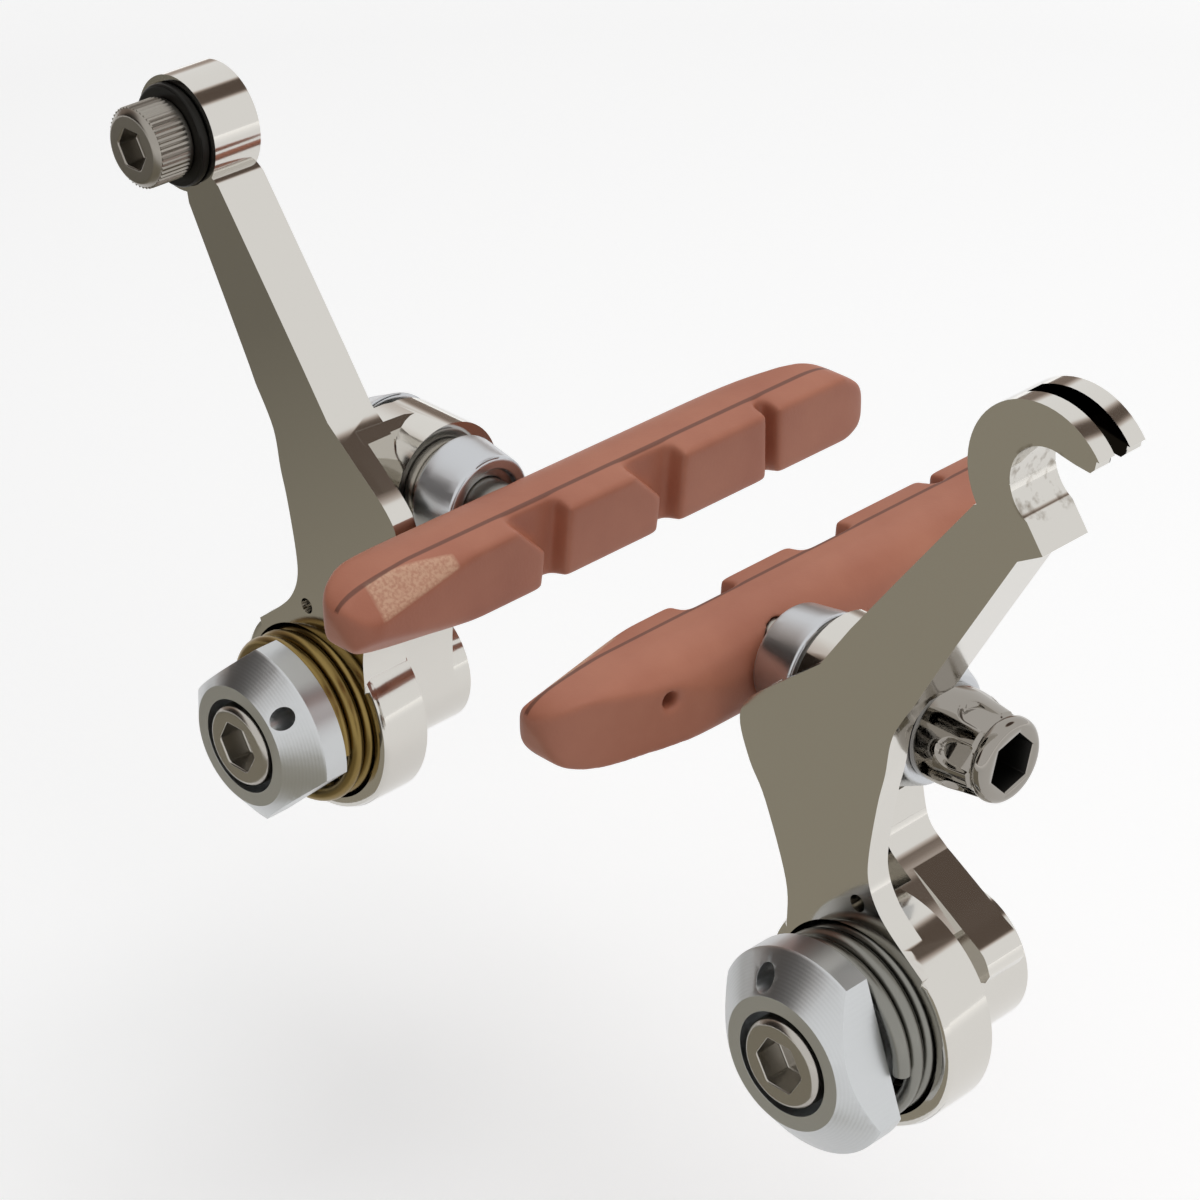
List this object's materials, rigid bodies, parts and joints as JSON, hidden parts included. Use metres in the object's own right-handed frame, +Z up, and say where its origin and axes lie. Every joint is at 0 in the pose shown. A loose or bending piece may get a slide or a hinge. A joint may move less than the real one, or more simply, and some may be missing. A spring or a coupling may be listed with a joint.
{
  "type": "bicycle cantilever brake",
  "caption": "Pair of polished cantilever brake levers on sprung frame-post pivots, with rim pads on ball and cup washers, a cable anchor on one lever and an open hook on the other.",
  "frame": {"origin": "midway between the two pivot axes, on the plane of the frame's post shoulders", "axes": "+X from the left lever (with the cable anchor) to the right one (with the hook), seen from the front; +Y along the pivots, back towards the frame; +Z up along the levers"},
  "size_m": [0.128, 0.0746, 0.0841],
  "materials": {
    "polished_alloy": "mirror polished cast alloy",
    "satin_alloy": "satin turned alloy",
    "dark_steel": "dark plated steel, satin",
    "bright_steel": "turned steel",
    "black_steel": "blackened steel",
    "dark_chrome": "dark chrome plated steel",
    "terracotta_rubber": "moulded, matt",
    "gold_spring_steel": "yellow passivated spring wire",
    "grey_spring_steel": "bright spring wire"
  },
  "bodies": {
    "frame_side": {"left_pivot_bolt": "dark_steel", "left_bushing": "bright_steel", "left_return_spring": "gold_spring_steel", "right_pivot_bolt": "dark_steel", "right_bushing": "bright_steel", "right_return_spring": "grey_spring_steel"},
    "left_cap": {"left_tension_cap": "satin_alloy"},
    "left_lever": {"left_arm": "polished_alloy", "anchor_bolt": "dark_steel", "anchor_washer": "black_steel", "cable_clamp_plate": "black_steel"},
    "left_slider": {"left_inner_ball_washer": "dark_steel", "left_outer_ball_washer": "dark_steel"},
    "left_toe": {"left_inner_cup_washer": "satin_alloy", "left_outer_cup_washer": "satin_alloy"},
    "left_shoe": {"left_pad": "terracotta_rubber", "left_pad_stud": "bright_steel", "left_pad_nut": "dark_chrome"},
    "right_cap": {"right_tension_cap": "satin_alloy"},
    "right_lever": {"right_arm": "polished_alloy"},
    "right_slider": {"right_inner_ball_washer": "dark_steel", "right_outer_ball_washer": "dark_steel"},
    "right_toe": {"right_inner_cup_washer": "satin_alloy", "right_outer_cup_washer": "satin_alloy"},
    "right_shoe": {"right_pad": "terracotta_rubber", "right_pad_stud": "bright_steel", "right_pad_nut": "dark_chrome"}
  },
  "joints": [
    {"name": "left_cap_turn", "type": "hinge", "parent": "frame_side", "child": "left_cap", "pos_m": [-0.04, -0.024, 0], "axis": [0, 1, 0], "range_deg": [-30, 30]},
    {"name": "left_lever_swing", "type": "hinge", "parent": "frame_side", "child": "left_lever", "pos_m": [-0.04, -0.009, 0], "axis": [0, -1, 0], "range_deg": [-12, 25], "stiffness_Nm_per_rad": 0.32, "deforming": ["left_return_spring"]},
    {"name": "left_pad_height", "type": "slide", "parent": "left_lever", "child": "left_slider", "axis": [0, 0, 1], "range_m": [-0.0055, 0]},
    {"name": "left_pad_toe", "type": "hinge", "parent": "left_slider", "child": "left_toe", "pos_m": [-0.032, -0.0067, 0.0283], "axis": [0, 0, -1], "range_deg": [-3, 3]},
    {"name": "left_pad_turn", "type": "hinge", "parent": "left_toe", "child": "left_shoe", "pos_m": [-0.032, -0.0067, 0.0283], "axis": [-1, 0, 0], "range_deg": [-20, 20]},
    {"name": "right_cap_turn", "type": "hinge", "parent": "frame_side", "child": "right_cap", "pos_m": [0.04, -0.024, 0], "axis": [0, 1, 0], "range_deg": [-30, 30]},
    {"name": "right_lever_swing", "type": "hinge", "parent": "frame_side", "child": "right_lever", "pos_m": [0.04, -0.009, 0], "axis": [0, 1, 0], "range_deg": [-12, 25], "stiffness_Nm_per_rad": 0.32, "deforming": ["right_return_spring"]},
    {"name": "right_pad_height", "type": "slide", "parent": "right_lever", "child": "right_slider", "axis": [0, 0, 1], "range_m": [-0.0055, 0]},
    {"name": "right_pad_toe", "type": "hinge", "parent": "right_slider", "child": "right_toe", "pos_m": [0.032, -0.0067, 0.0283], "axis": [0, 0, 1], "range_deg": [-3, 3]},
    {"name": "right_pad_turn", "type": "hinge", "parent": "right_toe", "child": "right_shoe", "pos_m": [0.032, -0.0067, 0.0283], "axis": [1, 0, 0], "range_deg": [-20, 20]}
  ]
}
